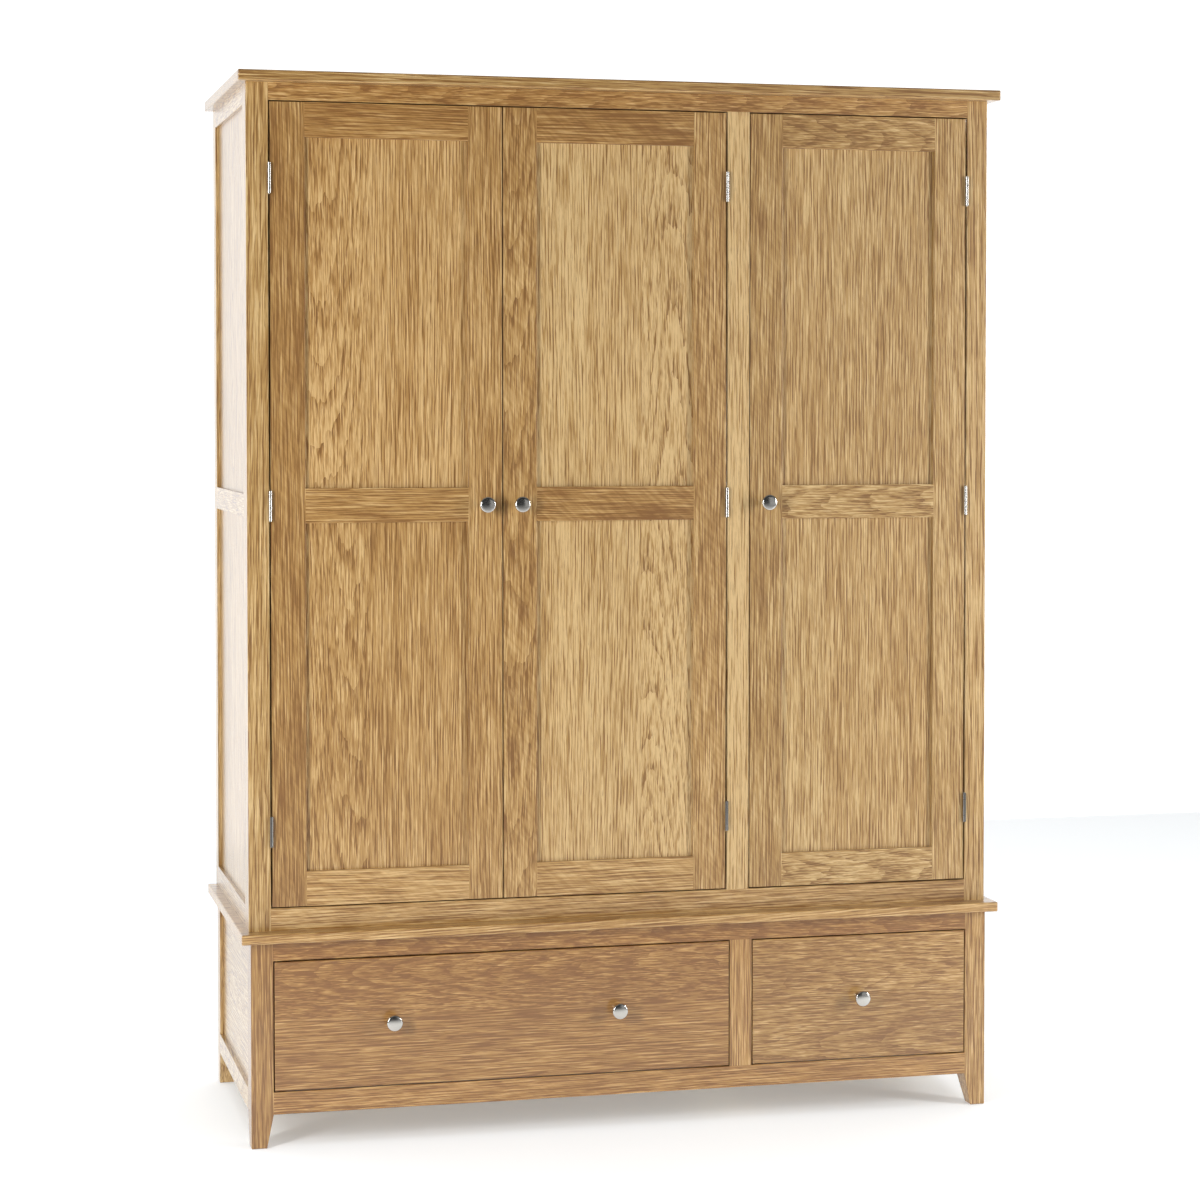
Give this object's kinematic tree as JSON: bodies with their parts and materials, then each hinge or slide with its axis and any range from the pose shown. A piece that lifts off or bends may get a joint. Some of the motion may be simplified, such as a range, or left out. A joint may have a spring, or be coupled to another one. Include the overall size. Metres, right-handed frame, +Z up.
{
  "type": "wardrobe with doors",
  "caption": "Framed oak wardrobe with panelled hinged doors, hanging rails and hat shelves, standing on a base unit with sliding drawers on tapered feet.",
  "frame": {"origin": "on the floor, at the centre of the overall box, whose depth counts the drawer knobs", "axes": "+X to the right as seen from the front, +Y to the back, +Z up; the doors and drawers face -Y"},
  "size_m": [1.42, 0.567, 1.906],
  "materials": {
    "oak": "satin lacquer over natural oak",
    "oak_panel": "satin lacquer over oak veneered board",
    "inner_timber": "plain planed timber",
    "nickel": "brushed nickel plate",
    "polished_nickel": "polished nickel plate",
    "chrome": "polished",
    "steel_plate": "zinc plated",
    "catch_plastic": "matte"
  },
  "bodies": {
    "carcass": {"back_panels": "oak_panel", "base_back_panel": "oak_panel", "base_board": "oak", "base_divider": "inner_timber", "base_front_legs": "oak", "base_front_rails": "oak", "base_muntin": "oak", "base_rear_legs": "oak", "base_rear_rails": "oak", "base_side_panels": "oak", "base_side_rails": "oak", "cornice": "oak", "drawer_runners": "inner_timber", "floor_bearers": "inner_timber", "front_muntin": "oak", "front_posts": "oak", "front_rails": "oak", "hanging_rails": "chrome", "hat_shelves": "oak", "hinge_frame_leaves": "nickel", "hinge_frame_screws": "nickel", "hinge_pins": "nickel", "magnetic_catches": "catch_plastic", "partition": "oak", "rail_sockets": "chrome", "rear_frame": "oak", "rear_posts": "oak", "shelf_cleats": "inner_timber", "side_panels": "oak", "side_rails": "oak", "wardrobe_floor": "oak"},
    "door_left": {"door_left_hinge_leaves": "nickel", "door_left_hinge_screws": "nickel", "door_left_knob": "polished_nickel", "door_left_panels": "oak", "door_left_rails": "oak", "door_left_stiles": "oak", "door_left_strike_plate": "steel_plate"},
    "door_middle": {"door_middle_hinge_leaves": "nickel", "door_middle_hinge_screws": "nickel", "door_middle_knob": "polished_nickel", "door_middle_panels": "oak", "door_middle_rails": "oak", "door_middle_stiles": "oak", "door_middle_strike_plate": "steel_plate"},
    "door_right": {"door_right_hinge_leaves": "nickel", "door_right_hinge_screws": "nickel", "door_right_knob": "polished_nickel", "door_right_panels": "oak", "door_right_rails": "oak", "door_right_stiles": "oak", "door_right_strike_plate": "steel_plate"},
    "drawer_wide": {"drawer_wide_bottom": "oak_panel", "drawer_wide_front": "oak", "drawer_wide_knobs": "polished_nickel", "drawer_wide_sides_and_back": "inner_timber"},
    "drawer_narrow": {"drawer_narrow_bottom": "oak_panel", "drawer_narrow_front": "oak", "drawer_narrow_knobs": "polished_nickel", "drawer_narrow_sides_and_back": "inner_timber"}
  },
  "joints": [
    {"name": "door_left_hinge", "type": "hinge", "parent": "carcass", "child": "door_left", "pos_m": [-0.653, -0.2479, 1.141], "axis": [0, 0, -1], "range_deg": [0, 170]},
    {"name": "door_middle_hinge", "type": "hinge", "parent": "carcass", "child": "door_middle", "pos_m": [0.187, -0.2479, 1.141], "axis": [0, 0, 1], "range_deg": [0, 150]},
    {"name": "door_right_hinge", "type": "hinge", "parent": "carcass", "child": "door_right", "pos_m": [0.653, -0.2479, 1.141], "axis": [0, 0, 1], "range_deg": [0, 170]},
    {"name": "drawer_wide_slide", "type": "slide", "parent": "carcass", "child": "drawer_wide", "axis": [0, -1, 0], "range_m": [0, 0.38]},
    {"name": "drawer_narrow_slide", "type": "slide", "parent": "carcass", "child": "drawer_narrow", "axis": [0, -1, 0], "range_m": [0, 0.38]}
  ]
}
